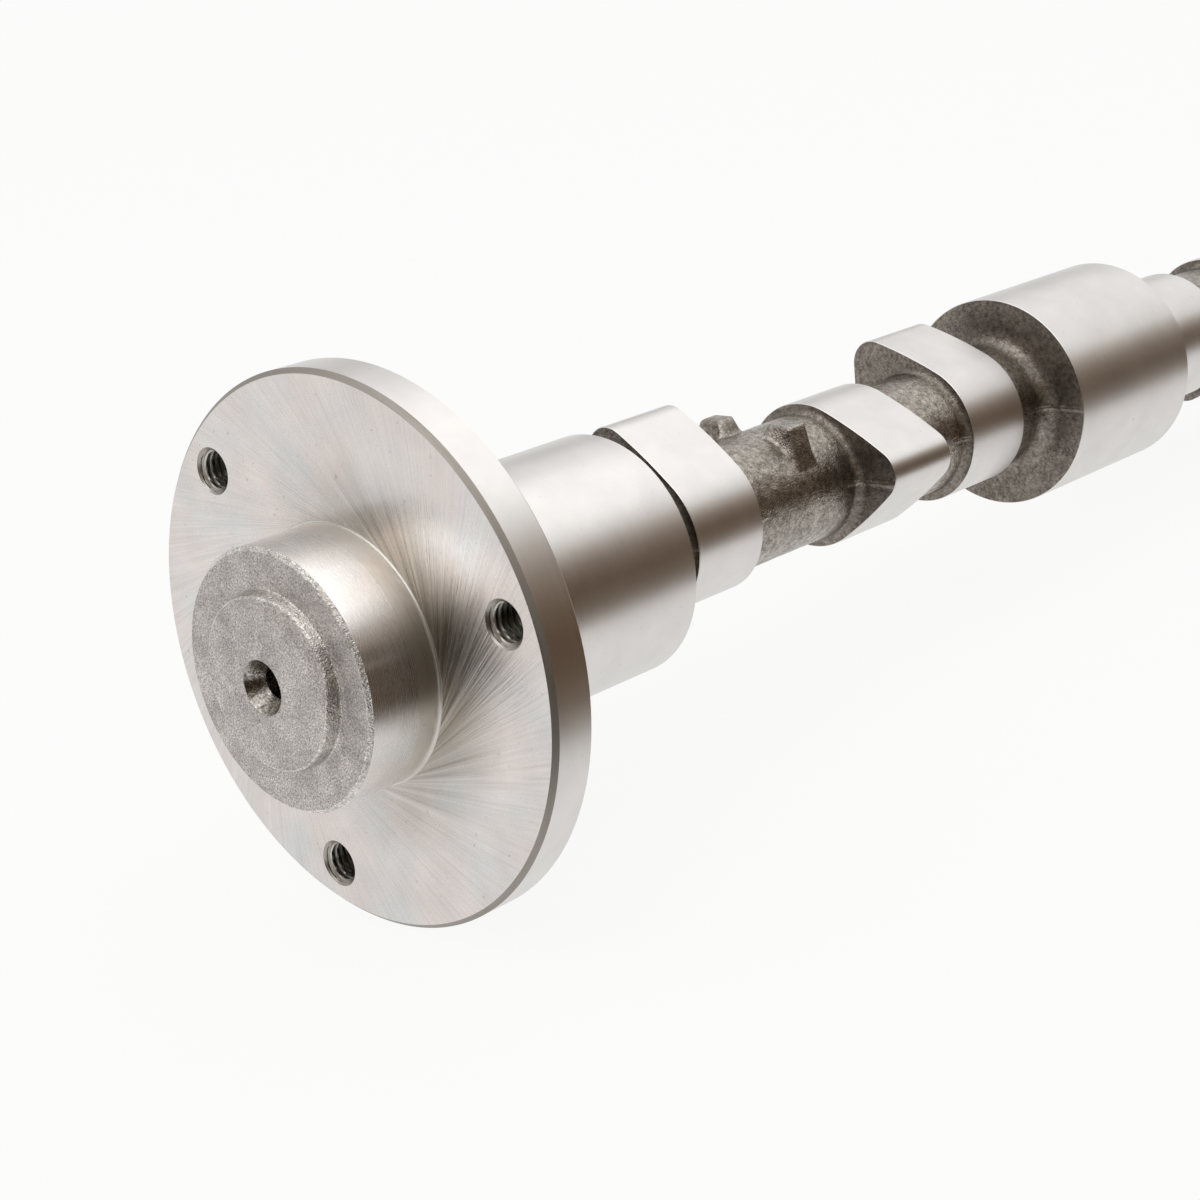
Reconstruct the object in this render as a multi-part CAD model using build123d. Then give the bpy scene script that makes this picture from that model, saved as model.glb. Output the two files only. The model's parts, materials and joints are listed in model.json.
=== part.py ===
"""Camshaft of a three cylinder engine: one iron casting, turned, ground and drilled.

The shaft lies along X. The origin is the centre of the gear flange's front face, +X points to the
rear of the engine and +Z is up. All sizes are in millimetres and all angles in degrees.
"""
import math
import os

from build123d import *

# Gear flange
flange_diameter = 101.6
flange_thickness = 9.2
flange_edge_chamfer = 0.9

# Spigot that centres the timing gear, and the cast boss left standing on its end
spigot_diameter = 47.6
spigot_length = 15.6
spigot_edge_chamfer = 0.8
boss_diameter = 31.0
boss_height = 3.3
boss_edge_radius = 1.2

# Tapped holes for the timing gear's setscrews, centred an edge distance in from the flange's rim
screw_count = 3
screw_edge_distance = 7.8
first_screw_angle = 36.2
tapping_diameter = 6.8
screw_mouth_diameter = 8.8
screw_circle_diameter = flange_diameter - 2 * screw_edge_distance

# Centre holes that the lathe and the grinder hold the shaft by
centre_mouth_diameter = 9.9
centre_pilot_diameter = 6.0
centre_cone_angle = 60.0
centre_pilot_depth = 9.0

# Bearing journals, stepped down to the rear so that the shaft slides into its block
front_journal_diameter = 47.50
middle_journal_diameter = 47.25
rear_journal_diameter = 46.75
front_journal_length = 55.9
middle_journal_length = 44.0
rear_journal_length = 33.0
rear_end_chamfer = 1.5

# Cast core between the journals and the lobes
core_diameter = 26.6
journal_root_fillet = 3.7
lobe_root_fillet = 1.9

# Gaps along the core, front journal to middle journal
journal_to_lobe_1 = 10.4
lobe_1_to_lobe_2 = 32.8
lobe_2_to_lobe_3 = 19.1
lobe_3_to_journal = 11.1

# Cam lobes: a base circle, two wide flank arcs and a nose arc
base_circle_diameter = 30.8
valve_lift = 7.9
nose_radius = 5.45
flank_radius = 100.0
lobe_width = 18.8

# Clocking of the lobe noses, measured from +Y towards +Z
first_lobe_angle = 61.7
lobe_spread = 104.1
cylinder_step = 120.0

# Cast locating lugs between the first two lobes
mould_pull_angle = 82.5
lug_width = 5.8
lug_length = 5.6
lug_offset = 6.7
lug_edge_radius = 1.2
front_lug_gap = 11.0
front_lug_reach = 16.4
rear_lug_gap = 16.4
rear_lug_reach = 15.0

# Stations along the shaft, worked out from the lengths above
front_journal_start = flange_thickness
front_journal_end = front_journal_start + front_journal_length
lobe_1_start = front_journal_end + journal_to_lobe_1
lobe_2_start = lobe_1_start + lobe_width + lobe_1_to_lobe_2
lobe_3_start = lobe_2_start + lobe_width + lobe_2_to_lobe_3
middle_journal_start = lobe_3_start + lobe_width + lobe_3_to_journal
middle_journal_end = middle_journal_start + middle_journal_length
lobe_4_start = middle_journal_end + lobe_3_to_journal
lobe_5_start = lobe_4_start + lobe_width + lobe_2_to_lobe_3
lobe_6_start = lobe_5_start + lobe_width + lobe_1_to_lobe_2
rear_journal_start = lobe_6_start + lobe_width + journal_to_lobe_1
rear_journal_end = rear_journal_start + rear_journal_length

# Start, cylinder and place within the cylinder's pair of each lobe, from the front
lobes = [
    (lobe_1_start, 1, 0),
    (lobe_2_start, 1, 1),
    (lobe_3_start, 2, 1),
    (lobe_4_start, 2, 0),
    (lobe_5_start, 3, 1),
    (lobe_6_start, 3, 0),
]
journal_faces = [front_journal_end, middle_journal_start, middle_journal_end, rear_journal_start]


def disc(start, length, diameter):
    """A round bar along X from one station."""
    plane = Plane(origin=(start, 0, 0), x_dir=(0, 1, 0), z_dir=(1, 0, 0))
    return plane * Cylinder(diameter / 2, length, align=(Align.CENTER, Align.CENTER, Align.MIN))


def rims(body, station, diameter):
    """The circular edges of a given size that lie at one station."""
    return [
        edge
        for edge in body.edges().filter_by(GeomType.CIRCLE)
        if abs(edge.radius - diameter / 2) < 0.001 and abs(edge.arc_center.X - station) < 0.001
    ]


def spigot():
    """The ground spigot with its chamfered nose and the round boss on its end."""
    body = disc(-spigot_length, spigot_length, spigot_diameter)
    body = chamfer(rims(body, -spigot_length, spigot_diameter), spigot_edge_chamfer)
    tip = -spigot_length - boss_height
    boss = disc(tip, boss_height, boss_diameter)
    boss = fillet(rims(boss, tip, boss_diameter), boss_edge_radius)
    return body + boss


def flange():
    """The gear flange, chamfered on both rims."""
    body = disc(0, flange_thickness, flange_diameter)
    both = rims(body, 0, flange_diameter) + rims(body, flange_thickness, flange_diameter)
    return chamfer(both, flange_edge_chamfer)


def journals():
    """The three bearing journals, the last with its chamfered rear rim."""
    front = disc(front_journal_start, front_journal_length, front_journal_diameter)
    middle = disc(middle_journal_start, middle_journal_length, middle_journal_diameter)
    rear = disc(rear_journal_start, rear_journal_length, rear_journal_diameter)
    rear = chamfer(rims(rear, rear_journal_end, rear_journal_diameter), rear_end_chamfer)
    return front, middle, rear


def cam_profile():
    """The outline of one lobe with its nose on the sketch's X axis.

    Each flank arc is tangent to the base circle and to the nose arc, so its centre lies a flank
    radius less the base radius from the shaft, and a flank radius less the nose radius from the
    nose arc's centre.
    """
    base = base_circle_diameter / 2
    nose_centre = base + valve_lift - nose_radius
    to_base = flank_radius - base
    to_nose = flank_radius - nose_radius
    flank_x = (to_base**2 - to_nose**2 + nose_centre**2) / (2 * nose_centre)
    flank_y = -math.sqrt(to_base**2 - flank_x**2)
    on_base = (-flank_x * base / to_base, -flank_y * base / to_base)
    on_nose = (
        nose_centre + (nose_centre - flank_x) * nose_radius / to_nose,
        -flank_y * nose_radius / to_nose,
    )
    mirrored_base = (on_base[0], -on_base[1])
    mirrored_nose = (on_nose[0], -on_nose[1])
    with BuildSketch() as sketch:
        with BuildLine():
            ThreePointArc(mirrored_base, (-base, 0), on_base)
            RadiusArc(on_base, on_nose, flank_radius)
            ThreePointArc(on_nose, (nose_centre + nose_radius, 0), mirrored_nose)
            RadiusArc(mirrored_nose, mirrored_base, flank_radius)
        make_face()
    return sketch.sketch


def lobe(profile, start, cylinder, place):
    """One cam lobe, turned to its place in the firing order."""
    angle = first_lobe_angle + place * lobe_spread - (cylinder - 1) * cylinder_step
    plane = Plane(origin=(start, 0, 0), x_dir=(0, 1, 0), z_dir=(1, 0, 0))
    return extrude(plane * Rot(0, 0, angle) * profile, lobe_width)


def cast_core():
    """The round core from the front journal to the rear one."""
    return disc(front_journal_end, rear_journal_start - front_journal_end, core_diameter)


def lug(start, side, reach):
    """One cast lug with rounded top edges, its flat top square to the mould's pull."""
    plane = Plane(origin=(start, 0, 0), x_dir=(0, 1, 0), z_dir=(1, 0, 0))
    block = Box(reach, lug_width, lug_length, align=(Align.MIN, Align.CENTER, Align.MIN))
    top = block.faces().sort_by(Axis.X)[-1]
    block = fillet(top.edges(), lug_edge_radius)
    return plane * Rot(0, 0, mould_pull_angle) * Pos(0, side * lug_offset, 0) * block


def root_fillets(body):
    """The cast fillets where the core runs into a journal's face or a lobe's side."""
    journal_roots = [edge for station in journal_faces for edge in rims(body, station, core_diameter)]
    body = fillet(journal_roots, journal_root_fillet)
    sides = [start + along for start, _, _ in lobes for along in (0, lobe_width)]
    lobe_roots = [edge for station in sides for edge in rims(body, station, core_diameter)]
    room = (base_circle_diameter - core_diameter) / 2
    return fillet(lobe_roots, min(lobe_root_fillet, 0.92 * room))


def centre_hole(station, inward):
    """A centre hole's tool: the cone, then the pilot, running inward from one end face."""
    mouth = centre_mouth_diameter / 2
    pilot = centre_pilot_diameter / 2
    cone_depth = (mouth - pilot) / math.tan(math.radians(centre_cone_angle / 2))
    bottom = cone_depth + centre_pilot_depth
    tip = bottom + pilot / math.tan(math.radians(59))
    with BuildSketch(Plane.XY) as section:
        with BuildLine():
            Polyline((0, 0), (0, mouth), (cone_depth, pilot), (bottom, pilot), (tip, 0), close=True)
        make_face()
    tool = revolve(section.sketch, Axis.X)
    if inward < 0:
        tool = tool.rotate(Axis.Z, 180)
    return Pos(station, 0, 0) * tool


def screw_holes():
    """The tapping holes through the flange, each with a countersunk mouth on both faces."""
    sink = (screw_mouth_diameter - tapping_diameter) / 2
    tools = []
    for number in range(screw_count):
        angle = math.radians(first_screw_angle + number * 360 / screw_count)
        across = screw_circle_diameter / 2 * math.cos(angle)
        up = screw_circle_diameter / 2 * math.sin(angle)
        plane = Plane(origin=(0, across, up), x_dir=(0, 1, 0), z_dir=(1, 0, 0))
        with BuildSketch(Plane.XZ) as section:
            with BuildLine():
                Polyline(
                    (0, 0),
                    (screw_mouth_diameter / 2, 0),
                    (tapping_diameter / 2, sink),
                    (tapping_diameter / 2, flange_thickness - sink),
                    (screw_mouth_diameter / 2, flange_thickness),
                    (0, flange_thickness),
                    close=True,
                )
            make_face()
        tools.append(plane * revolve(section.sketch, Axis.Z))
    return tools


def camshaft():
    """The whole shaft as one solid."""
    profile = cam_profile()
    body = cast_core()
    for journal in journals():
        body += journal
    for start, cylinder, place in lobes:
        body += lobe(profile, start, cylinder, place)
    body = root_fillets(body)
    body += lug(lobe_1_start + lobe_width + front_lug_gap, -1, front_lug_reach)
    body += lug(lobe_1_start + lobe_width + rear_lug_gap, 1, rear_lug_reach)
    body += flange()
    body += spigot()
    body -= centre_hole(-spigot_length - boss_height, 1)
    body -= centre_hole(rear_journal_end, -1)
    for tool in screw_holes():
        body -= tool
    return body


def main():
    os.makedirs("parts", exist_ok=True)
    body = camshaft()
    export_step(body, "parts/camshaft.step")


if __name__ == "__main__":
    main()
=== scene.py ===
"""Looks of a cast iron camshaft: ground journals, lobes and gear flange on a cast core.

The shaft lies along X with the gear flange's front face at the origin and +Z up. Sizes in the classes are
in millimetres and angles in degrees, and MM turns sizes into Blender's metres where a mesh or a node tree
is made.
"""
import json
import logging
import math
from dataclasses import dataclass, field
from enum import Enum

import bpy
import numpy as np
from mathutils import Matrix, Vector


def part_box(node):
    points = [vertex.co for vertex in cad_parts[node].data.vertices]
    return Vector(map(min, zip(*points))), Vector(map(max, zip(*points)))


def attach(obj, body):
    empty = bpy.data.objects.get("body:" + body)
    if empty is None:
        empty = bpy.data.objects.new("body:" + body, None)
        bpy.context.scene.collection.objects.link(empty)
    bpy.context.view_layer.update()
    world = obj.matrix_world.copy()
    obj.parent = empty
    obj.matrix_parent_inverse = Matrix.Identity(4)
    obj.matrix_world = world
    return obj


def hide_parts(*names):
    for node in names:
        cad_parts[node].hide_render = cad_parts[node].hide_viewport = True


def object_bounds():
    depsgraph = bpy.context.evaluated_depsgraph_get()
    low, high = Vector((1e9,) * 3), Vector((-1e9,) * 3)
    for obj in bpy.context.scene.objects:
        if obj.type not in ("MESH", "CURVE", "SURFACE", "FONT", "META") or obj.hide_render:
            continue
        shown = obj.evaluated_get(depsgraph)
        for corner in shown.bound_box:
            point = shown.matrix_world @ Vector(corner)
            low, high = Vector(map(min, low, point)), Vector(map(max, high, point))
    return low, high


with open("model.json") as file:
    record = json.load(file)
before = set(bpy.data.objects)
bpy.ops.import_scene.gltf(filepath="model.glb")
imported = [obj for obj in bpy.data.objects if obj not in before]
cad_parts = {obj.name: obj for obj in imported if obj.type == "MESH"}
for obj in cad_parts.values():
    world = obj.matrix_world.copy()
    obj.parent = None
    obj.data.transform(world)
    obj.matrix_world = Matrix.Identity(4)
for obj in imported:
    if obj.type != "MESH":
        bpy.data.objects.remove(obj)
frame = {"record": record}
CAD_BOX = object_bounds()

MM = 0.001
TURN = 2 * math.pi
AROUND = 360
ANGLES = np.arange(AROUND) * TURN / AROUND
# Turns every noise, so that its lattice never lines up with the shaft
SKEW = (0.6, 0.4, 0.5)
# The levels that a noise mostly stays between
NOISE_LEVELS = (0.3, 0.7)
log = logging.getLogger("camshaft")

Socket = bpy.types.NodeSocket
Node = bpy.types.Node
Tree = bpy.types.NodeTree
Material = bpy.types.Material
Mesh = bpy.types.Object
Pair = tuple[float, float]
Sizes = dict[str, float]
PREFIXES = ("ShaderNode", "GeometryNode", "FunctionNode")


class Zone(Enum):
    """The finishes of the shaft's surface, in the order of a piece's material slots."""

    JOURNAL = 0
    SPIGOT = 1
    SPIGOT_SEAT = 2
    GEAR_FACE = 3
    TURNED = 4
    BLASTED = 5
    TORN_EDGE = 6
    CAST_CORE = 7
    CAST_SIDE = 8
    TAPPED = 9
    CENTRE = 10
    CHAMFER = 11


# How much of the cast skin's lumps and grains each uneven zone has
SKIN = {Zone.BLASTED: 0.12, Zone.TORN_EDGE: 0.8, Zone.CAST_CORE: 1.0, Zone.CAST_SIDE: 0.5}
ROUGH_WORDS = ("cast", "blasted", "torn")


def linear(hex_colour: str) -> tuple[float, float, float, float]:
    """Turn an sRGB hex colour into Blender's linear colour.

    Args:
        hex_colour: six hex digits, such as "c9c4be".

    Returns:
        Linear red, green, blue and an alpha of one.
    """
    shares = [int(hex_colour[i:i + 2], 16) / 255 for i in (0, 2, 4)]
    red, green, blue = [s / 12.92 if s <= 0.04045 else ((s + 0.055) / 1.055) ** 2.4 for s in shares]
    return red, green, blue, 1.0


def wire(tree: Tree, node: Node, *inputs: object, **named: object) -> None:
    """Feed a node's inputs with values, sockets or nodes. A node gives its first output in use.

    Args:
        tree: the node tree.
        node: the node that is fed.
        inputs: what goes into the inputs that are in use, in their order.
        named: what goes into inputs by their names.
    """
    used = [socket for socket in node.inputs if socket.enabled]
    by_name = [(node.inputs[name], value) for name, value in named.items()]
    for socket, value in [*zip(used, inputs), *by_name]:
        if isinstance(value, Node):
            value = next(output for output in value.outputs if output.enabled)
        if isinstance(value, Socket):
            tree.links.new(value, socket)
        else:
            socket.default_value = value


def add(tree: Tree, kind: str, *inputs: object, **named: object) -> Node:
    """Add a node to a tree with its settings and its links.

    Args:
        tree: the node tree.
        kind: the node's type name without its prefix, and after a space its operation, if it has one.
        inputs: what goes into its inputs in order, as wire takes it.
        named: its own settings, which start with a small letter, and inputs by name, with a capital.

    Returns:
        The new node.
    """
    kind, _, operation = kind.partition(" ")
    node = tree.nodes.new(next(prefix + kind for prefix in PREFIXES if hasattr(bpy.types, prefix + kind)))
    settings = {name: value for name, value in named.items() if name[0].islower()}
    if operation:
        settings["operation"] = operation
    for name, value in settings.items():
        setattr(node, name, value)
    wire(tree, node, *inputs, **{name: value for name, value in named.items() if name not in settings})
    return node


def geometry_tree(name: str, sizes: dict[str, str]) -> tuple[Tree, Node, Node]:
    """Start a geometry tree with a geometry input and named inputs for its sizes.

    Args:
        name: the tree's name.
        sizes: each named input's socket type.

    Returns:
        The tree, its input node and its output node.
    """
    tree = bpy.data.node_groups.new(name, "GeometryNodeTree")
    tree.interface.new_socket("Geometry", in_out="INPUT", socket_type="NodeSocketGeometry")
    for label, kind in sizes.items():
        tree.interface.new_socket(label, in_out="INPUT", socket_type=kind)
    tree.interface.new_socket("Geometry", in_out="OUTPUT", socket_type="NodeSocketGeometry")
    return tree, tree.nodes.new("NodeGroupInput"), tree.nodes.new("NodeGroupOutput")


def blank_tree(owner: Material | bpy.types.World) -> Tree:
    """Switch on the nodes of a material or a world, and clear them."""
    owner.use_nodes = True
    owner.node_tree.nodes.clear()
    return owner.node_tree


def grow(piece: Mesh, tree: Tree, values: dict[str, object]) -> None:
    """Run a geometry tree on a piece with given sizes, and keep the result as a plain mesh.

    Args:
        piece: the piece whose mesh is replaced.
        tree: the geometry tree.
        values: what goes into each of the tree's named inputs.
    """
    modifier = piece.modifiers.new(tree.name, "NODES")
    modifier.node_group = tree
    sockets = {item.name: item.identifier for item in tree.interface.items_tree if item.in_out == "INPUT"}
    for label, value in values.items():
        modifier[sockets[label]] = value
    settle(piece)


def settle(piece: Mesh) -> None:
    """Replace a piece's mesh by its evaluated one and drop its modifiers.

    Args:
        piece: the piece.
    """
    graph = bpy.context.evaluated_depsgraph_get()
    graph.update()
    plain = bpy.data.meshes.new_from_object(piece.evaluated_get(graph), depsgraph=graph)
    piece.modifiers.clear()
    piece.data = plain


def put(name: str, data: bpy.types.ID) -> bpy.types.Object:
    """Put an object with given data into the scene.

    Args:
        name: the object's name.
        data: its mesh, lamp or camera.

    Returns:
        The object, at the origin.
    """
    thing = bpy.data.objects.new(name, data)
    bpy.context.scene.collection.objects.link(thing)
    return thing


def place(name: str, points: np.ndarray | list, faces: list) -> Mesh:
    """Make a mesh object at the origin.

    Args:
        name: the object's name.
        points: its points in millimetres.
        faces: the points' numbers round each face.

    Returns:
        The object.
    """
    mesh = bpy.data.meshes.new(name)
    mesh.from_pydata((np.asarray(points) * MM).tolist(), [], faces)
    return put(name, mesh)


@dataclass(frozen=True)
class Mount:
    """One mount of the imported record, in millimetres."""

    name: str

    @property
    def entry(self) -> dict:
        """The record's entry for this mount."""
        return next(m for m in frame["record"]["mounts"] if m["name"] == self.name)

    @property
    def radius(self) -> float:
        """The mount's radius."""
        return self.entry["dims"]["r_mm"]

    @property
    def circle_radius(self) -> float:
        """The radius of a bolt pattern's circle."""
        return self.entry["dims"]["pcd_mm"] / 2

    @property
    def middle(self) -> float:
        """The mount's place along the shaft."""
        return self.entry["pos_m"][0] / MM

    @property
    def ends(self) -> Pair:
        """The two ends of a pin mount along the shaft."""
        half = self.entry["dims"]["length_mm"] / 2
        return self.middle - half, self.middle + half


SPIGOT = Mount("gear_spigot")
SCREWS = Mount("gear_screws")
FRONT_JOURNAL = Mount("front_journal")
MIDDLE_JOURNAL = Mount("middle_journal")
REAR_JOURNAL = Mount("rear_journal")


@dataclass
class CamLaw:
    """The three arc outline that every lobe shares: base circle, flank arcs and nose arc."""

    base_circle: float = 30.8
    lift: float = 7.9
    nose_radius: float = 5.45
    flank_radius: float = 100.0
    first_angle: float = 61.7
    spread: float = 104.1
    cylinder_step: float = 120.0

    def inputs(self) -> Sizes:
        """Work out the arcs' centres and where they meet, as the tree's named inputs in metres.

        Returns:
            Values for the tree's inputs; angles are in radians from the nose.
        """
        base = self.base_circle / 2
        centre = base + self.lift - self.nose_radius
        to_base = self.flank_radius - base
        to_nose = self.flank_radius - self.nose_radius
        along = (to_base**2 - to_nose**2 + centre**2) / (2 * centre)
        across = -math.sqrt(to_base**2 - along**2)
        nose_x = centre + (centre - along) * self.nose_radius / to_nose
        nose_y = -across * self.nose_radius / to_nose
        return {
            "Base radius": base * MM,
            "Nose centre": centre * MM,
            "Nose radius": self.nose_radius * MM,
            "Flank radius": self.flank_radius * MM,
            "Flank centre along": along * MM,
            "Flank centre across": across * MM,
            "Nose ends": math.atan2(nose_y, nose_x),
            "Flank ends": math.atan2(-across, -along),
        }

    def clock(self, cylinder: int, second: int) -> float:
        """The angle of one lobe's nose, in radians from +Y towards +Z."""
        return math.radians(self.first_angle + second * self.spread - (cylinder - 1) * self.cylinder_step)


@dataclass
class Ring:
    """One ring of points round the shaft, and the finish of the strip that leads to it."""

    x: float | np.ndarray
    radius: float | np.ndarray
    zone: Zone
    clock: float = 0.0
    lift_share: float = 0.0
    inset: float = 0.0


@dataclass
class Profile:
    """One closed piece of the shaft: a run of rings from one pole to the other, with a skin over them."""

    name: str
    tree: Tree
    values: Sizes
    zone: Zone = field(default=Zone.JOURNAL, init=False)
    rings: list[Ring] = field(default_factory=list, init=False)

    def to(self, x: float, radius: float, step: float | None = None) -> None:
        """Run straight to a place, in strips of about a given width.

        Args:
            x: the place along the shaft.
            radius: the radius there.
            step: the widest that a strip may be, or None for one strip.
        """
        strips, start = 1, (x, radius)
        if step and self.rings:
            start = self.rings[-1].x, self.rings[-1].radius
            strips = max(1, math.ceil(math.hypot(x - start[0], radius - start[1]) / step))
        for i in range(1, strips + 1):
            share = i / strips
            self.rings.append(Ring(start[0] + (x - start[0]) * share,
                                   start[1] + (radius - start[1]) * share, self.zone))

    def lay(self, zone: Zone, *places: tuple[float, ...]) -> None:
        """Run straight from place to place in one finish.

        Args:
            zone: the finish.
            places: each place along the shaft, its radius and the widest strip on the way, if any.
        """
        self.zone = zone
        for spot in places:
            self.to(*spot)

    def arc(self, centre: Pair, radius: float, start: float, end: float, strips: int) -> None:
        """Follow a round arc.

        Args:
            centre: the arc's centre, along the shaft and out from it.
            radius: the arc's radius.
            start: the angle where it starts, in degrees from +X outwards.
            end: the angle where it ends.
            strips: how many strips it has.
        """
        for i in range(1, strips + 1):
            angle = math.radians(start + (end - start) * i / strips)
            self.rings.append(Ring(centre[0] + radius * math.cos(angle),
                                   centre[1] + radius * math.sin(angle), self.zone))

    def skin(self) -> Mesh:
        """Stretch a closed mesh over the rings, with its finishes and what the node trees read.

        Returns:
            The piece, with a pole at each end.
        """
        inner = self.rings[1:-1]
        radii = np.array([np.broadcast_to(ring.radius, AROUND) for ring in inner])
        along = np.array([np.broadcast_to(ring.x, AROUND) for ring in inner])
        points = np.stack([along, radii * np.cos(ANGLES), radii * np.sin(ANGLES)], -1).reshape(-1, 3)
        first, last = len(points), len(points) + 1
        points = np.vstack([points, [self.rings[0].x, 0, 0], [self.rings[-1].x, 0, 0]])
        steps = [(i, (i + 1) % AROUND) for i in range(AROUND)]
        faces = [(first, b, a) for a, b in steps]
        zones = [inner[0].zone] * AROUND
        for row in range(len(inner) - 1):
            near, far = row * AROUND, (row + 1) * AROUND
            faces += [(near + a, near + b, far + b, far + a) for a, b in steps]
            zones += [inner[row + 1].zone] * AROUND
        end = (len(inner) - 1) * AROUND
        faces += [(end + a, end + b, last) for a, b in steps]
        zones += [self.rings[-1].zone] * AROUND
        piece = place(self.name, points, faces)
        self.note(piece, inner, radii)
        piece.data.attributes.new("zone", "INT", "FACE").data.foreach_set("value", [z.value for z in zones])
        return piece

    def note(self, piece: Mesh, inner: list[Ring], radii: np.ndarray) -> None:
        """Store on each point what the node trees read.

        Args:
            piece: the piece.
            inner: its rings without the poles.
            radii: each point's radius, in millimetres.
        """
        skins = [SKIN.get(ring.zone, 0.0) for ring in inner] + [0.0]
        # A ring between two uneven strips takes their mean, and one beside a machined strip stays even
        rough = [(a + b) / 2 if a and b else 0.0 for a, b in zip(skins, skins[1:])]
        values = {
            "root": radii.ravel() * MM,
            "turn": np.tile(ANGLES, len(inner)),
            "clock": np.repeat([ring.clock for ring in inner], AROUND),
            "lift_share": np.repeat([ring.lift_share for ring in inner], AROUND),
            "inset": np.repeat([ring.inset for ring in inner], AROUND) * MM,
            "skin": np.repeat(rough, AROUND),
        }
        for name, numbers in values.items():
            attribute = piece.data.attributes.new(name, "FLOAT", "POINT")
            attribute.data.foreach_set("value", np.append(numbers, [0.0, 0.0]).astype(np.float32))

    def plan(self) -> None:
        """Lay the rings. Each kind of piece has its own."""
        raise NotImplementedError

    def cut(self, piece: Mesh) -> None:
        """Cut what a kind of piece has cut out of it: nothing, unless it says so."""

    def build(self) -> Mesh:
        """Make the piece, shaped, dressed and shaded.

        Returns:
            The piece.
        """
        self.plan()
        piece = self.skin()
        grow(piece, self.tree, self.values)
        self.cut(piece)
        crease(piece)
        return piece


@dataclass(frozen=True)
class CastSkin:
    """The unevenness of the sand cast surface: low lumps with grains on them."""

    lump: float = 3.0
    lump_height: float = 0.2
    grain: float = 0.8
    grain_height: float = 0.06
    detail: float = 1.5
    seed: float = 4.0

    def inputs(self) -> Sizes:
        """The skin's sizes as the tree's named inputs."""
        return {"Lump size": self.lump * MM, "Lump height": self.lump_height * MM,
                "Grain size": self.grain * MM, "Grain height": self.grain_height * MM, "Seed": self.seed}

    def displace(self, tree: Tree, sizes: Node, geometry: Node) -> Node:
        """Push each point along its normal by the lumps and grains, where its skin value says so.

        Args:
            tree: the geometry tree.
            sizes: the tree's input node.
            geometry: the node that gives what is displaced.

        Returns:
            The node that gives the displaced geometry.
        """
        size = sizes.outputs
        where = add(tree, "InputPosition")
        heights = []
        for label in ("Lump", "Grain"):
            scale = add(tree, "Math DIVIDE", 1.0, size[f"{label} size"])
            noise = add(tree, "TexNoise", where, size["Seed"], scale, self.detail, noise_dimensions="4D")
            centred = add(tree, "Math SUBTRACT", noise, 0.5)
            heights.append(add(tree, "Math MULTIPLY", centred, size[f"{label} height"]))
        both = add(tree, "Math ADD", *heights)
        skin = add(tree, "InputNamedAttribute", "skin", data_type="FLOAT")
        height = add(tree, "Math MULTIPLY", both, skin)
        push = add(tree, "VectorMath SCALE", add(tree, "InputNormal"), height)
        return add(tree, "SetPosition", Geometry=geometry, Offset=push)


def dress(tree: Tree, geometry: Node, output: Node, finishes: dict[Zone, Material]) -> None:
    """End a tree in Realize Instances and Set Material, one finish for each zone of the surface.

    Each finish goes on its own zone and all later ones, so the finishes have to be in the zones' order.

    Args:
        tree: the geometry tree.
        geometry: the node whose first output is dressed.
        output: the tree's output node.
        finishes: the material of each zone.
    """
    last = add(tree, "RealizeInstances", geometry)
    zone = add(tree, "InputNamedAttribute", "zone", data_type="INT")
    for kind, material in finishes.items():
        inside = add(tree, "Compare GREATER_EQUAL", zone, kind.value, data_type="INT")
        last = add(tree, "SetMaterial", last, inside, material)
    wire(tree, output, last)


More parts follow.
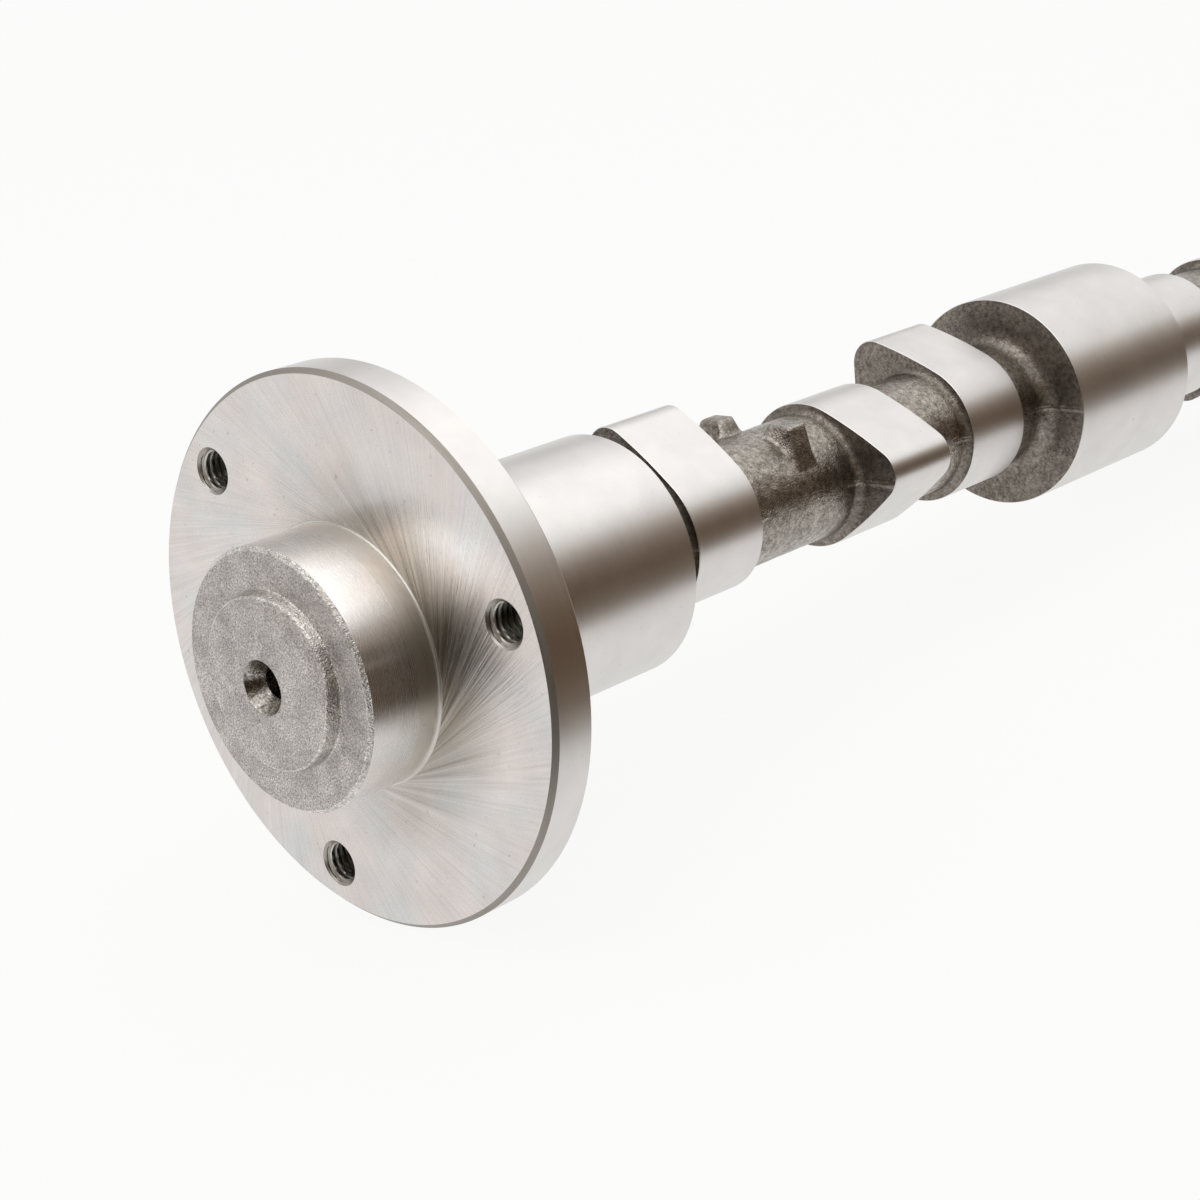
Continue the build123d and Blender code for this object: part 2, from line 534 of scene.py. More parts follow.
def shaft_tree(law: CamLaw, skin: CastSkin, finishes: dict[Zone, Material]) -> Tree:
    """Make the tree that gives rings the lobes' outline and the cast skin, and dresses them.

    A point's radius is its own, or on a lobe the cam law's radius at its angle from the nose, in the share
    that its lift_share value says.

    Args:
        law: the lobes' outline.
        skin: the cast surface.
        finishes: the material of each zone.

    Returns:
        The geometry tree.
    """
    labels = {label: "NodeSocketFloat" for label in {**law.inputs(), **skin.inputs()}}
    tree, sizes, output = geometry_tree("cam_law", labels)
    value = {name: add(tree, "InputNamedAttribute", name, data_type="FLOAT")
             for name in ("root", "turn", "clock", "lift_share", "inset")}
    size = sizes.outputs
    gap = add(tree, "Math SUBTRACT", value["turn"], value["clock"])
    gap = add(tree, "Math WRAP", gap, math.pi, -math.pi)
    gap = add(tree, "Math ABSOLUTE", gap)
    cosine, sine = (add(tree, f"Math {name}", gap) for name in ("COSINE", "SINE"))
    arms = {"Nose": (size["Nose centre"], 0.0, size["Nose radius"]),
            "Flank": (size["Flank centre along"], size["Flank centre across"], size["Flank radius"])}
    reach = {}
    for name, (along, across, radius) in arms.items():
        first = add(tree, "Math MULTIPLY", cosine, along)
        near = add(tree, "Math MULTIPLY_ADD", sine, across, first)
        centre = add(tree, "CombineXYZ", along, across)
        far = add(tree, "VectorMath DOT_PRODUCT", centre, centre)
        square = add(tree, "Math MULTIPLY", radius, radius)
        spare = add(tree, "Math SUBTRACT", square, far)
        under = add(tree, "Math MULTIPLY_ADD", near, near, spare)
        under = add(tree, "Math MAXIMUM", under, 0.0)
        root = add(tree, "Math SQRT", under)
        reach[name] = add(tree, "Math ADD", near, root)
    on_nose, on_flank = (add(tree, "Math LESS_THAN", gap, size[label])
                         for label in ("Nose ends", "Flank ends"))
    off_nose = add(tree, "Mix", on_flank, size["Base radius"], reach["Flank"])
    outline = add(tree, "Mix", on_nose, off_nose, reach["Nose"])
    outline = add(tree, "Math SUBTRACT", outline, value["inset"])
    radius = add(tree, "Mix", value["lift_share"], value["root"], outline)
    sides = [add(tree, f"Math {name}", value["turn"]) for name in ("COSINE", "SINE")]
    across, up = (add(tree, "Math MULTIPLY", radius, side) for side in sides)
    where = add(tree, "SeparateXYZ", add(tree, "InputPosition"))
    point = add(tree, "CombineXYZ", where, across, up)
    shaped = add(tree, "SetPosition", Geometry=size["Geometry"], Position=point)
    dress(tree, skin.displace(tree, sizes, shaped), output, finishes)
    return tree


def crease(piece: Mesh, ground: float = 24.0, rough: float = 60.0) -> None:
    """Shade a piece smooth, with sharp edges where its faces turn.

    Args:
        piece: the piece.
        ground: the turn in degrees that makes an edge sharp beside a ground face.
        rough: the same between two cast faces.
    """
    mesh = piece.data
    count = len(mesh.polygons)
    normals = np.empty(count * 3, np.float32)
    mesh.polygons.foreach_get("normal", normals)
    normals = normals.reshape(-1, 3)
    slots, sides = np.empty(count, np.int32), np.empty(count, np.int32)
    mesh.polygons.foreach_get("material_index", slots)
    mesh.polygons.foreach_get("loop_total", sides)
    loops = np.empty(len(mesh.loops), np.int32)
    mesh.loops.foreach_get("edge_index", loops)
    names = [material.name for material in mesh.materials]
    is_rough = np.array([any(word in name for word in ROUGH_WORDS) for name in names])[slots]
    # The mesh is closed, so each edge has two faces, and they are neighbours once the loops are sorted
    pairs = np.repeat(np.arange(count), sides)[np.argsort(loops, kind="stable")].reshape(-1, 2)
    turn = np.degrees(np.arccos(np.clip((normals[pairs[:, 0]] * normals[pairs[:, 1]]).sum(1), -1, 1)))
    sharp = turn > np.where(is_rough[pairs].all(1), rough, ground)
    mesh.shade_smooth()
    attribute = mesh.attributes.get("sharp_edge") or mesh.attributes.new("sharp_edge", "BOOLEAN", "EDGE")
    attribute.data.foreach_set("value", sharp)


def pattern(tree: Tree, size: float | tuple, detail: float, seed: float, where: Node | None = None,
            stretch: tuple[float, ...] | None = None) -> Node:
    """Add a noise whose features have a given size in millimetres.

    Args:
        tree: the material's tree.
        size: the features' size, or their sizes along X, Y and Z.
        detail: how many finer layers the noise has.
        seed: where the noise is read in its fourth dimension.
        where: the node that gives the coordinates, or None for the object's own.
        stretch: two levels of the noise and the values that they are stretched to, if any.

    Returns:
        The last node of the pattern.
    """
    sizes = size if isinstance(size, tuple) else (size,) * 3
    mapped = add(tree, "Mapping", Vector=where or add(tree, "TexCoord").outputs["Object"],
                 Scale=tuple(1 / (s * MM) for s in sizes), Rotation=SKEW)
    noise = add(tree, "TexNoise", mapped, seed, 1.0, detail, noise_dimensions="4D")
    return add(tree, "MapRange", noise, *stretch) if stretch else noise


def about_shaft(tree: Tree) -> tuple[Node, Node, Node]:
    """Work out where a point of the surface lies about the shaft.

    Args:
        tree: the material's tree.

    Returns:
        The nodes that give its coordinates, its angle round the shaft and its distance from the axis.
    """
    where = add(tree, "SeparateXYZ", add(tree, "TexCoord").outputs["Object"])
    _, across, up = where.outputs
    angle = add(tree, "Math ARCTAN2", up, across)
    flat = add(tree, "CombineXYZ", 0.0, across, up)
    return where, angle, add(tree, "VectorMath LENGTH", flat)


@dataclass(frozen=True)
class Finish:
    """What every iron finish shares: a metal with a colour, a roughness and a name."""

    name: str
    colour: str
    roughness: float
    metallic: float = 1.0

    def start(self) -> tuple[Material, Tree, Node]:
        """Make the material with its metal shader.

        Returns:
            The material, its tree and the shader node.
        """
        material = bpy.data.materials.new(self.name)
        material.use_nodes = True
        shader = material.node_tree.nodes["Principled BSDF"]
        colour = linear(self.colour)
        wire(material.node_tree, shader, colour, self.metallic, self.roughness)
        return material, material.node_tree, shader

    def relief(self, tree: Tree, shader: Node, grain: Node, spread: Pair, height: Node, depth: float,
               strength: float = 1.0) -> None:
        """Give the surface a roughness that follows its grain, and a bump.

        Args:
            tree: the material's tree.
            shader: the shader node.
            grain: the noise that the roughness follows.
            spread: what is added to the finish's roughness at the noise's low and high levels.
            height: the noise that the bump follows.
            depth: how deep the bump is, in millimetres.
            strength: the bump's strength.
        """
        low, high = (self.roughness + more for more in spread)
        rough = add(tree, "MapRange", grain, *NOISE_LEVELS, low, high)
        bump = add(tree, "Bump", Height=height, Distance=depth * MM, Strength=strength)
        wire(tree, shader, Roughness=rough, Normal=bump)


@dataclass(frozen=True)
class GroundIron(Finish):
    """Chilled iron ground between centres: satin, with fine wheel lines round the shaft.

    The real lines are about 0.02 mm apart, too fine to show, so they are drawn 0.12 mm apart.
    """

    line: float = 0.12
    line_run: float = 40.0
    line_height: float = 0.0002
    line_weight: float = 0.6
    cloud: float = 7.0
    levels: Pair = (0.6, 1.0)
    tones: Pair = (0.94, 1.03)
    speck: float = 1.0
    speck_levels: Pair = (0.68, 0.76)
    speck_shade: float = 0.75
    anisotropy: float = 0.3
    spread: Pair = (-0.03, 0.05)

    def material(self) -> Material:
        """Make the material: the lines spread highlights along the shaft and keep them narrow round it.

        Returns:
            The material.
        """
        material, tree, shader = self.start()
        lines = pattern(tree, (self.line, self.line_run, self.line_run), detail=3.0, seed=1.0)
        clouds = pattern(tree, self.cloud, detail=4.0, seed=2.0)
        marks = add(tree, "Math MULTIPLY_ADD", lines, self.line_weight, clouds)
        tint = add(tree, "MapRange", marks, *self.levels, *self.tones)
        specks = pattern(tree, self.speck, detail=3.0, seed=9.0,
                         stretch=(*self.speck_levels, 1.0, self.speck_shade))
        tint = add(tree, "Math MULTIPLY", tint, specks)
        shade = add(tree, "VectorMath SCALE", linear(self.colour)[:3], tint)
        along = add(tree, "CombineXYZ", 1.0)
        wire(tree, shader, shade, Anisotropic=self.anisotropy, Tangent=along)
        self.relief(tree, shader, lines, self.spread, lines, self.line_height)
        return material


@dataclass(frozen=True)
class FaceGroundIron(Finish):
    """Iron face ground by a wheel's rim: straight scratches that leave the spigot along a tangent.

    The real scratches are a few hundredths of a millimetre wide, too fine to show, so the finest are drawn
    0.1 mm wide. A painted shade in warm brown round the spigot fades out along them: it darkens the face
    where the face would mirror the spigot's dark side.
    """

    tangent_circle: float = 23.3
    streak: float = 0.3
    scratch: float = 0.1
    scratch_weight: float = 0.22
    streak_weight: float = 0.8
    streak_depth: float = 0.12
    streak_tilt: float = 0.8
    drift: float = 0.02
    anisotropy: float = 0.8
    cloud: float = 9.0
    cloud_weight: float = 0.5
    levels: Pair = (0.45, 1.0)
    tones: Pair = (0.79, 1.09)
    spread: Pair = (-0.06, 0.06)
    speck: float = 1.1
    speck_levels: Pair = (0.66, 0.74)
    speck_shade: float = 0.7
    hue_patch: float = 12.0
    hue_levels: Pair = (0.2, 0.8)
    warm: str = "e6d8d1"
    cool: str = "d6d9d9"
    # Where and how deep the painted shade round the spigot lies, and its warm brown tint
    shaded_side: float = 163.0
    side_levels: Pair = (-0.4, 1.0)
    shade_start: float = 25.0
    shade_end: float = 40.5
    shade_depth: float = 0.6
    ray: float = 1.4
    ray_tones: Pair = (0.45, 1.45)
    painted_shade_tint: tuple[float, float, float] = (0.96, 1.0, 1.09)

    def fan(self, tree: Tree, angle: Node, out: Node) -> tuple[Node, Node]:
        """Find where the scratch through a point touches the tangent circle.

        Args:
            tree: the material's tree.
            angle: the point's angle round the shaft.
            out: its distance from the axis.

        Returns:
            The nodes that give the direction square to the scratch and the touching point.
        """
        share = add(tree, "Math DIVIDE", self.tangent_circle * MM, out, use_clamp=True)
        lean = add(tree, "Math ARCCOSINE", share)
        foot = add(tree, "Math ADD", angle, lean)
        across, up = (add(tree, f"Math {name}", foot) for name in ("COSINE", "SINE"))
        square_to = add(tree, "CombineXYZ", 0.0, across, up)
        return square_to, add(tree, "VectorMath SCALE", square_to, self.tangent_circle * MM)

    def painted_shade(self, tree: Tree, angle: Node, out: Node, touch: Node) -> Node:
        """Find what share of each colour the painted shade round the spigot leaves.

        The painted shade darkens the face in warm brown where it would mirror the spigot's dark side.

        Args:
            tree: the material's tree.
            angle: the point's angle round the shaft.
            out: its distance from the axis.
            touch: where its scratch touches the tangent circle.

        Returns:
            The node that gives the shares of red, green and blue.
        """
        side = add(tree, "Math SUBTRACT", angle, math.radians(self.shaded_side))
        side = add(tree, "Math COSINE", side)
        side = add(tree, "MapRange", side, *self.side_levels, 0.0, self.shade_depth)
        near = add(tree, "MapRange", out, self.shade_start * MM, self.shade_end * MM, 1.0, 0.0,
                   interpolation_type="SMOOTHSTEP")
        rays = pattern(tree, self.ray, detail=4.0, seed=8.0, where=touch,
                       stretch=(*NOISE_LEVELS, *self.ray_tones))
        near = add(tree, "Math MULTIPLY", near, rays)
        depth = add(tree, "Math MULTIPLY", side, near)
        taken = add(tree, "VectorMath SCALE", self.painted_shade_tint, depth)
        return add(tree, "VectorMath SUBTRACT", (1.0, 1.0, 1.0), taken)

    def material(self) -> Material:
        """Make the material: the fans of light and dark round the spigot come from the scratches' direction,
        and a painted shade darkens the face beside the spigot.

        Returns:
            The material.
        """
        material, tree, shader = self.start()
        _, angle, out = about_shaft(tree)
        square_to, touch = self.fan(tree, angle, out)
        drift = add(tree, "Math MULTIPLY", out, self.drift)
        aside = add(tree, "CombineXYZ", drift)
        spot = add(tree, "VectorMath ADD", touch, aside)
        streaks = pattern(tree, self.streak, detail=3.0, seed=1.0, where=spot)
        scratches = pattern(tree, self.scratch, detail=2.0, seed=2.0, where=spot)
        both = add(tree, "Math MULTIPLY_ADD", scratches, self.scratch_weight, streaks)
        clouds = pattern(tree, self.cloud, detail=3.0, seed=3.0)
        clouds = add(tree, "Math MULTIPLY", clouds, self.cloud_weight)
        marks = add(tree, "Math MULTIPLY_ADD", both, self.streak_weight, clouds)
        tint = add(tree, "MapRange", marks, *self.levels, *self.tones)
        specks = pattern(tree, self.speck, detail=3.0, seed=9.0,
                         stretch=(*self.speck_levels, 1.0, self.speck_shade))
        tint = add(tree, "Math MULTIPLY", tint, specks)
        blend = pattern(tree, self.hue_patch, detail=3.0, seed=6.0, stretch=(*self.hue_levels, 0.0, 1.0))
        hue = add(tree, "Mix", blend, linear(self.warm), linear(self.cool), data_type="RGBA")
        shade = add(tree, "VectorMath SCALE", hue, tint)
        # Painted shade: the face darkens in warm brown where it would mirror the spigot's dark side
        left = self.painted_shade(tree, angle, out, touch)
        shade = add(tree, "VectorMath MULTIPLY", shade, left)
        wire(tree, shader, shade, Anisotropic=self.anisotropy, Tangent=square_to)
        self.relief(tree, shader, streaks, self.spread, both, self.streak_depth, self.streak_tilt)
        return material


@dataclass(frozen=True)
class CastIron(Finish):
    """Iron as it left the sand and the shot blast: mottled, grainy, with bright peened grains.

    Moulding sand is 0.2 to 0.5 mm across, so its grains just show at their real size.
    """

    grain: float = 0.55
    grit: float = 0.22
    bump: float = 0.16
    dark: str = "5a544e"
    mottle: float = 4.0
    glint: float = 0.14
    grain_weight: float = 0.5
    grit_weight: float = 0.4
    levels: Pair = (0.5, 1.0)
    cloud: float = 5.0
    cloud_levels: Pair = (0.35, 0.65)
    cloud_tones: Pair = (0.78, 1.06)

    def material(self) -> Material:
        """Make the material: grains that glint one by one on a mottled grey brown ground.

        Returns:
            The material.
        """
        material, tree, shader = self.start()
        mottle = pattern(tree, self.mottle, detail=4.0, seed=1.0)
        grains = pattern(tree, self.grain, detail=2.0, seed=2.0)
        grit = pattern(tree, self.grit, detail=1.0, seed=3.0)
        share = add(tree, "Math MULTIPLY_ADD", grains, self.grain_weight, mottle)
        share = add(tree, "MapRange", share, *self.levels, 0.0, 1.0)
        shade = add(tree, "Mix", share, linear(self.dark), linear(self.colour), data_type="RGBA")
        clouds = pattern(tree, self.cloud, detail=3.0, seed=7.0,
                         stretch=(*self.cloud_levels, *self.cloud_tones))
        shade = add(tree, "VectorMath SCALE", shade, clouds)
        height = add(tree, "Math MULTIPLY_ADD", grit, self.grit_weight, grains)
        wire(tree, shader, shade)
        self.relief(tree, shader, grains, (self.glint, -self.glint), height, self.bump)
        return material


@dataclass(frozen=True)
class TurnedIron(Finish):
    """Iron cut by a tool point: darker than ground iron, with tool lines round the shaft.

    The lines are a finishing feed of 0.18 mm a turn apart, which shows at its real size.
    """

    line: float = 0.18
    line_run: float = 9.0
    line_height: float = 0.006
    spread: Pair = (-0.05, 0.08)

    def material(self) -> Material:
        """Make the material: fine tool lines and a dull, slightly oily tone.

        Returns:
            The material.
        """
        material, tree, shader = self.start()
        lines = pattern(tree, (self.line, self.line_run, self.line_run), detail=2.0, seed=5.0)
        self.relief(tree, shader, lines, self.spread, lines, self.line_height)
        return material


@dataclass(frozen=True)
class TappedIron(TurnedIron):
    """Iron cut by a tap: crests darken with the hole's depth over darker roots, painted shade with some oil.
    """

    crest: str = "dedad4"
    deep_crest: str = "49473f"
    root: str = "6c6a5f"
    crest_radius: float = 3.48
    root_radius: float = 3.8
    sink_depth: float = 1.0
    dark_depth: float = 3.3

    def material(self) -> Material:
        """Make the material: light thread lines on a hole darkened by painted shade, behind a grey
        countersink.

        The angle round the shaft is folded to one hole's share of the turn, so that a point's distance
        from its own hole's axis tells a crest from a root.

        Returns:
            The material.
        """
        material = super().material()
        tree = material.node_tree
        where, angle, out = about_shaft(tree)
        half_step = math.pi / TappedHoles.count
        angle = add(tree, "Math SUBTRACT", angle, math.radians(TappedHoles.first_angle))
        angle = add(tree, "Math WRAP", angle, half_step, -half_step)
        cosine, sine = (add(tree, f"Math {name}", angle) for name in ("COSINE", "SINE"))
        along = add(tree, "Math MULTIPLY_ADD", out, cosine, -SCREWS.circle_radius * MM)
        across = add(tree, "Math MULTIPLY", out, sine)
        spot = add(tree, "CombineXYZ", along, across)
        radius = add(tree, "VectorMath LENGTH", spot)
        half = GearEnd.flange_thickness / 2
        sink, dark = (half - self.sink_depth) * MM, (half - self.dark_depth) * MM
        # Painted shade, with some dark oil: crests darken deeper in the hole, and roots are darker than
        # crests
        level = add(tree, "Math SUBTRACT", where, half * MM)
        level = add(tree, "Math ABSOLUTE", level)
        light = add(tree, "MapRange", level, dark, sink, 0.0, 1.0)
        crest = add(tree, "Mix", light, linear(self.deep_crest), linear(self.crest), data_type="RGBA")
        deep = add(tree, "MapRange", radius, self.crest_radius * MM, self.root_radius * MM, 0.0, 1.0)
        thread = add(tree, "Mix", deep, crest, linear(self.root), data_type="RGBA")
        sunk = add(tree, "Math GREATER_THAN", level, sink)
        shade = add(tree, "Mix", sunk, thread, linear(self.colour), data_type="RGBA")
        wire(tree, tree.nodes["Principled BSDF"], shade)
        return material


def finishes() -> dict[Zone, Material]:
    """Make the finish of each zone of the surface, in the zones' order.

    Returns:
        The material of each zone.
    """
    kinds = {
        # Satin grey bands with a soft streak of light along the shaft
        Zone.JOURNAL: GroundIron("ground_iron_journal", "dad7d4", 0.33),
        # Brighter and finer ground, so it mirrors the flange's face behind it
        Zone.SPIGOT: GroundIron("ground_iron_spigot", "faf9f7", 0.26, anisotropy=0.75),
        # The band where the timing gear sat, a shade duller than the spigot's nose
        Zone.SPIGOT_SEAT: GroundIron("ground_iron_spigot_seat", "f8f5ef", 0.3, anisotropy=0.6),
        # Scratches that fan light and dark round the spigot, with faint warm and cool patches and a painted
        # shade beside it
        Zone.GEAR_FACE: FaceGroundIron("face_ground_iron", "dbd5d0", 0.27),
        # Dull brownish grey that drops back behind the ground faces
        Zone.TURNED: TurnedIron("turned_iron", "8c867e", 0.38),
        # Pale, even and fine grained, like frosted metal
        Zone.BLASTED: CastIron("blasted_iron", "f8f1ee", 0.42, metallic=0.92, grain=0.18, grit=0.08,
                               bump=0.12, dark="6f6964", mottle=0.3),
        # A broken bright line round the boss, where metal tore and burnished
        Zone.TORN_EDGE: CastIron("torn_iron_edge", "fbf8f3", 0.24, grain=0.3, grit=0.14, bump=0.2,
                                 dark="a8a199", mottle=0.6),
        # Brown grey sand skin with grains that catch the light
        Zone.CAST_CORE: CastIron("sand_cast_iron", "c1bab1", 0.31, grain=0.42, grit=0.18, bump=0.095,
                                 dark="6a6158", mottle=1.1, glint=0.11),
        # The same skin a tone darker where it lies in the shade of the lobes and journals: painted shade
        Zone.CAST_SIDE: CastIron("sand_cast_iron_side", "9f978e", 0.38, grain=0.45, grit=0.2, bump=0.09,
                                 dark="5f5750", mottle=1.0),
        # Light thread crests over dark roots, darker down the hole: painted shade with some dark oil
        Zone.TAPPED: TappedIron("tapped_iron", "a8a49d", 0.34),
        # A rough drilled cone with a few glints
        Zone.CENTRE: CastIron("centre_drilled_iron", "d2ccc4", 0.25, grain=0.4, grit=0.2, bump=0.06,
                              dark="66615a", mottle=0.8),
        # A dull grey line that sets the flange's face off from its rim
        Zone.CHAMFER: TurnedIron("turned_iron_chamfer", "a09a93", 0.52, line_height=0.001),
    }
    return {zone: kind.material() for zone, kind in kinds.items()}


@dataclass(frozen=True)
class CentreHole:
    """A centre hole that the lathe and the grinder hold the shaft by: a cone, then a drilled pilot."""

    mouth_diameter: float = 9.9
    pilot_diameter: float = 6.0
    cone_angle: float = 60.0
    pilot_depth: float = 9.0
    drill_point: float = 118.0

    @property
    def radii(self) -> Pair:
        """The radii of the mouth and the pilot."""
        return self.mouth_diameter / 2, self.pilot_diameter / 2

    @property
    def depths(self) -> tuple[float, float, float]:
        """How deep the cone, the pilot's wall and the drill's point reach."""
        mouth, pilot = self.radii
        cone = (mouth - pilot) / math.tan(math.radians(self.cone_angle / 2))
        bottom = cone + self.pilot_depth
        return cone, bottom, bottom + pilot / math.tan(math.radians(self.drill_point / 2))


@dataclass
class TappedHoles:
    """The three tapped holes for the timing gear's setscrews."""

    depth: float
    pitch: float = 1.25
    major_diameter: float = 8.1
    minor_diameter: float = 6.8
    mouth_diameter: float = 8.8
    first_angle: float = 36.2
    count: int = 3
    overrun: float = 1.0
    sides: int = 72
    steps_per_pitch: int = 12
    thread_start: float = 0.45
    crest_end: float = 0.1
    root_start: float = 0.42

    def inputs(self) -> Sizes:
        """The holes' sizes as the tree's named inputs."""
        return {"Pitch": self.pitch * MM, "Major radius": self.major_diameter / 2 * MM,
                "Minor radius": self.minor_diameter / 2 * MM, "Mouth radius": self.mouth_diameter / 2 * MM,
                "Depth": self.depth * MM, "Circle radius": SCREWS.circle_radius * MM,
                "First angle": math.radians(self.first_angle)}

    def tree(self, material: Material) -> Tree:
        """Make the tree that shapes a round bar into a tap and sets copies on the screw circle.

        The bar's radius follows the thread: out to the major radius and back once for each pitch along the
        screw and each turn round it. At both faces of the flange it opens into a countersink.

        Args:
            material: the finish of the cut surface.

        Returns:
            The geometry tree.
        """
        labels = {label: "NodeSocketFloat" for label in self.inputs()} | {"Count": "NodeSocketInt"}
        tree, sizes, output = geometry_tree("tap_cutters", labels)
        size = sizes.outputs
        length = self.depth + 2 * self.overrun
        bar = add(tree, "MeshCylinder", Vertices=self.sides, Radius=size["Major radius"], Depth=length * MM,
                  fill_type="NGON", **{"Side Segments": round(length / self.pitch * self.steps_per_pitch)})
        where = add(tree, "SeparateXYZ", add(tree, "InputPosition"))
        x, y, z = where.outputs
        turn = add(tree, "Math ARCTAN2", y, x)
        turns = add(tree, "Math MULTIPLY_ADD", turn, 1 / TURN, self.thread_start)
        pitches = add(tree, "Math DIVIDE", z, size["Pitch"])
        phase = add(tree, "Math SUBTRACT", pitches, turns)
        wave = add(tree, "Math PINGPONG", phase, 0.5)
        crest = add(tree, "MapRange", wave, self.crest_end, self.root_start, size["Minor radius"],
                    size["Major radius"])
        half = add(tree, "Math MULTIPLY", size["Depth"], 0.5)
        level = add(tree, "Math ABSOLUTE", z)
        sunk = add(tree, "Math SUBTRACT", level, half)
        sink = add(tree, "Math ADD", size["Mouth radius"], sunk)
        radius = add(tree, "Math MAXIMUM", crest, sink)
        out = add(tree, "VectorMath NORMALIZE", add(tree, "CombineXYZ", x, y))
        out = add(tree, "VectorMath SCALE", out, radius)
        lift = add(tree, "CombineXYZ", 0.0, 0.0, z)
        point = add(tree, "VectorMath ADD", out, lift)
        tap = add(tree, "SetPosition", Geometry=bar, Position=point)
        circle = add(tree, "MeshCircle", size["Count"], size["Circle radius"])
        taps = add(tree, "InstanceOnPoints", Points=circle, Instance=tap)
        spin = add(tree, "CombineXYZ", 0.0, 0.0, size["First angle"])
        taps = add(tree, "Transform", Geometry=taps, Rotation=spin)
        # Quarter turns lay the screws' Z along the shaft's X, with the first angle still from +Y to +Z
        taps = add(tree, "Transform", Geometry=taps, Rotation=(TURN / 4, 0.0, TURN / 4),
                   Translation=(self.depth / 2 * MM, 0.0, 0.0))
        real = add(tree, "RealizeInstances", taps)
        wire(tree, output, add(tree, "SetMaterial", Geometry=real, Material=material))
        return tree

    def cut(self, piece: Mesh, material: Material) -> None:
        """Cut the three holes out of a piece.

        Args:
            piece: the piece.
            material: the finish of the cut surface.
        """
        cutter = place("tap_cutters", np.zeros((1, 3)), [])
        grow(cutter, self.tree(material), {**self.inputs(), "Count": self.count})
        cut = piece.modifiers.new("tapped_holes", "BOOLEAN")
        cut.operation, cut.solver, cut.material_mode, cut.object = "DIFFERENCE", "EXACT", "TRANSFER", cutter
        settle(piece)
        bpy.data.objects.remove(cutter)


